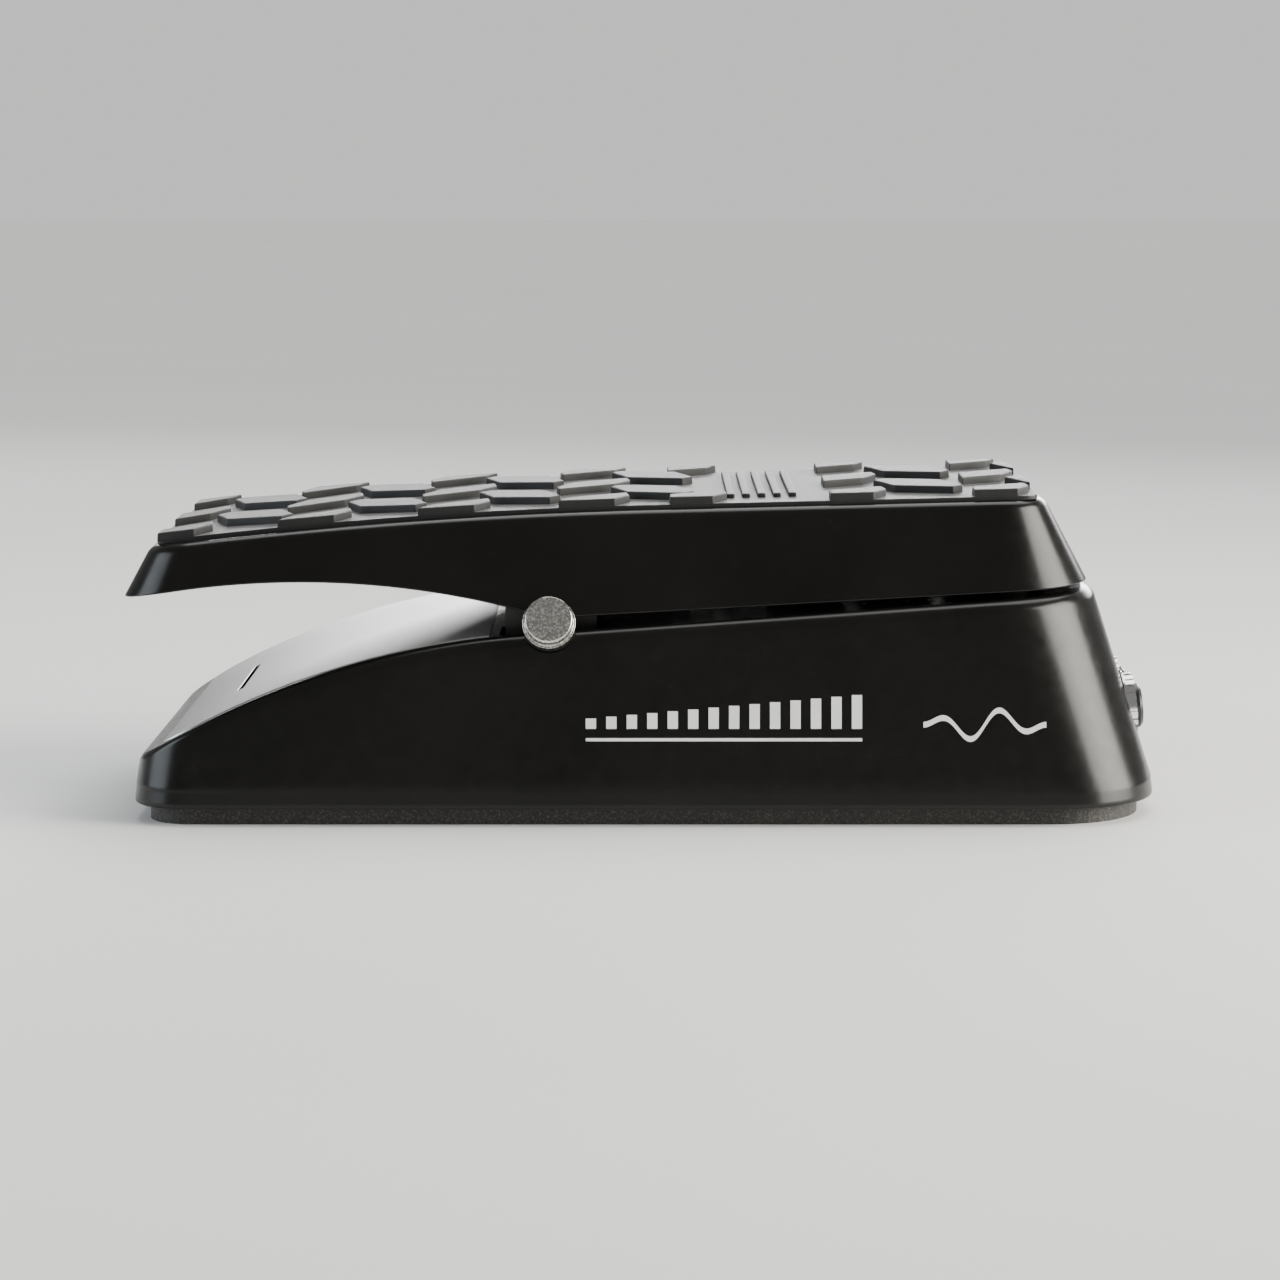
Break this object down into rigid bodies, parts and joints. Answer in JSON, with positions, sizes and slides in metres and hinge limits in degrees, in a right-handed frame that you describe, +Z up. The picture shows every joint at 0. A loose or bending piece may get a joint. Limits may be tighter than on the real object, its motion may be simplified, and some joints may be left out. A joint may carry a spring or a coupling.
{
  "type": "volume pedal",
  "caption": "Rocker volume pedal: a cast treadle with a rubber tread pivots on a cast base and turns a band-driven potentiometer.",
  "frame": {"origin": "centre of the rubber sole's resting face", "axes": "+X to the toe end, +Y to the player's left, +Z up"},
  "size_m": [0.2056, 0.1016, 0.0651],
  "materials": {
    "black_paint": "satin",
    "heel_steel": "satin",
    "dark_plate": "matte",
    "sole_rubber": "matte",
    "tread_rubber": "matte",
    "bumper_rubber": "matte",
    "block_metal": "matte",
    "bronze": "satin",
    "pin_nickel": "satin",
    "jack_nickel": "gloss",
    "black_screw": "satin",
    "zinc_screw": "satin",
    "white_plastic": "satin",
    "bracket_steel": "satin",
    "shaft_steel": "polished",
    "contact_brass": "satin",
    "drum_brass": "satin",
    "sector_aluminium": "satin",
    "board_green": "satin",
    "jack_plastic": "satin",
    "wire_red": "gloss"
  },
  "bodies": {
    "base": {"base_housing": "black_paint", "heel_plate": "heel_steel", "heel_plate_nuts": "zinc_screw", "bottom_plate": "dark_plate", "rubber_sole": "sole_rubber", "bottom_plate_screws": "black_screw", "right_pivot_block": "block_metal", "left_pivot_block": "block_metal", "right_pivot_bush": "bronze", "left_pivot_bush": "bronze", "pivot_block_screws": "zinc_screw", "brake_plug": "white_plastic", "toe_bumpers": "bumper_rubber", "pot_bracket": "bracket_steel", "bracket_screws": "zinc_screw", "pot_body": "bracket_steel", "pot_terminals": "contact_brass", "pot_washer": "jack_nickel", "pot_nut": "jack_nickel", "jack_board": "board_green", "input_jack": "jack_plastic", "aux_jack": "jack_plastic", "output_jack": "jack_plastic", "jack_washers": "jack_nickel", "jack_nuts": "jack_nickel", "jack_contacts": "contact_brass", "hookup_wires": "wire_red"},
    "treadle": {"treadle_casting": "black_paint", "tread_pad": "tread_rubber", "pivot_pins": "pin_nickel", "right_pivot_cap": "pin_nickel", "left_pivot_cap": "pin_nickel", "pin_set_screws": "black_screw", "thrust_washers": "white_plastic", "heel_bumpers": "bumper_rubber", "drive_sector": "sector_aluminium", "sector_screws": "zinc_screw", "drive_band": "shaft_steel", "band_clamps": "zinc_screw", "band_clamp_screws": "zinc_screw"},
    "drum": {"drive_drum": "drum_brass", "pot_shaft": "shaft_steel", "drum_band": "shaft_steel", "drum_set_screw": "black_screw"},
    "tension_screw": {"tension_screw": "black_screw"}
  },
  "joints": [
    {"name": "treadle_rock", "type": "hinge", "parent": "base", "child": "treadle", "pos_m": [-0.0192, 0, 0.0394], "axis": [0, -1, 0], "range_deg": [0, 20]},
    {"name": "drum_spin", "type": "hinge", "parent": "base", "child": "drum", "pos_m": [0.02954, 0, 0.02542], "axis": [0, -1, 0], "range_deg": [-205, 1]},
    {"name": "tension_turn", "type": "hinge", "parent": "base", "child": "tension_screw", "pos_m": [-0.0192, -0.0345, 0.0272], "axis": [0, 0, 1], "range_deg": [-180, 180]}
  ],
  "couplings": [
    {"joint": "drum_spin", "follows": "treadle_rock", "ratio": -10.2}
  ]
}
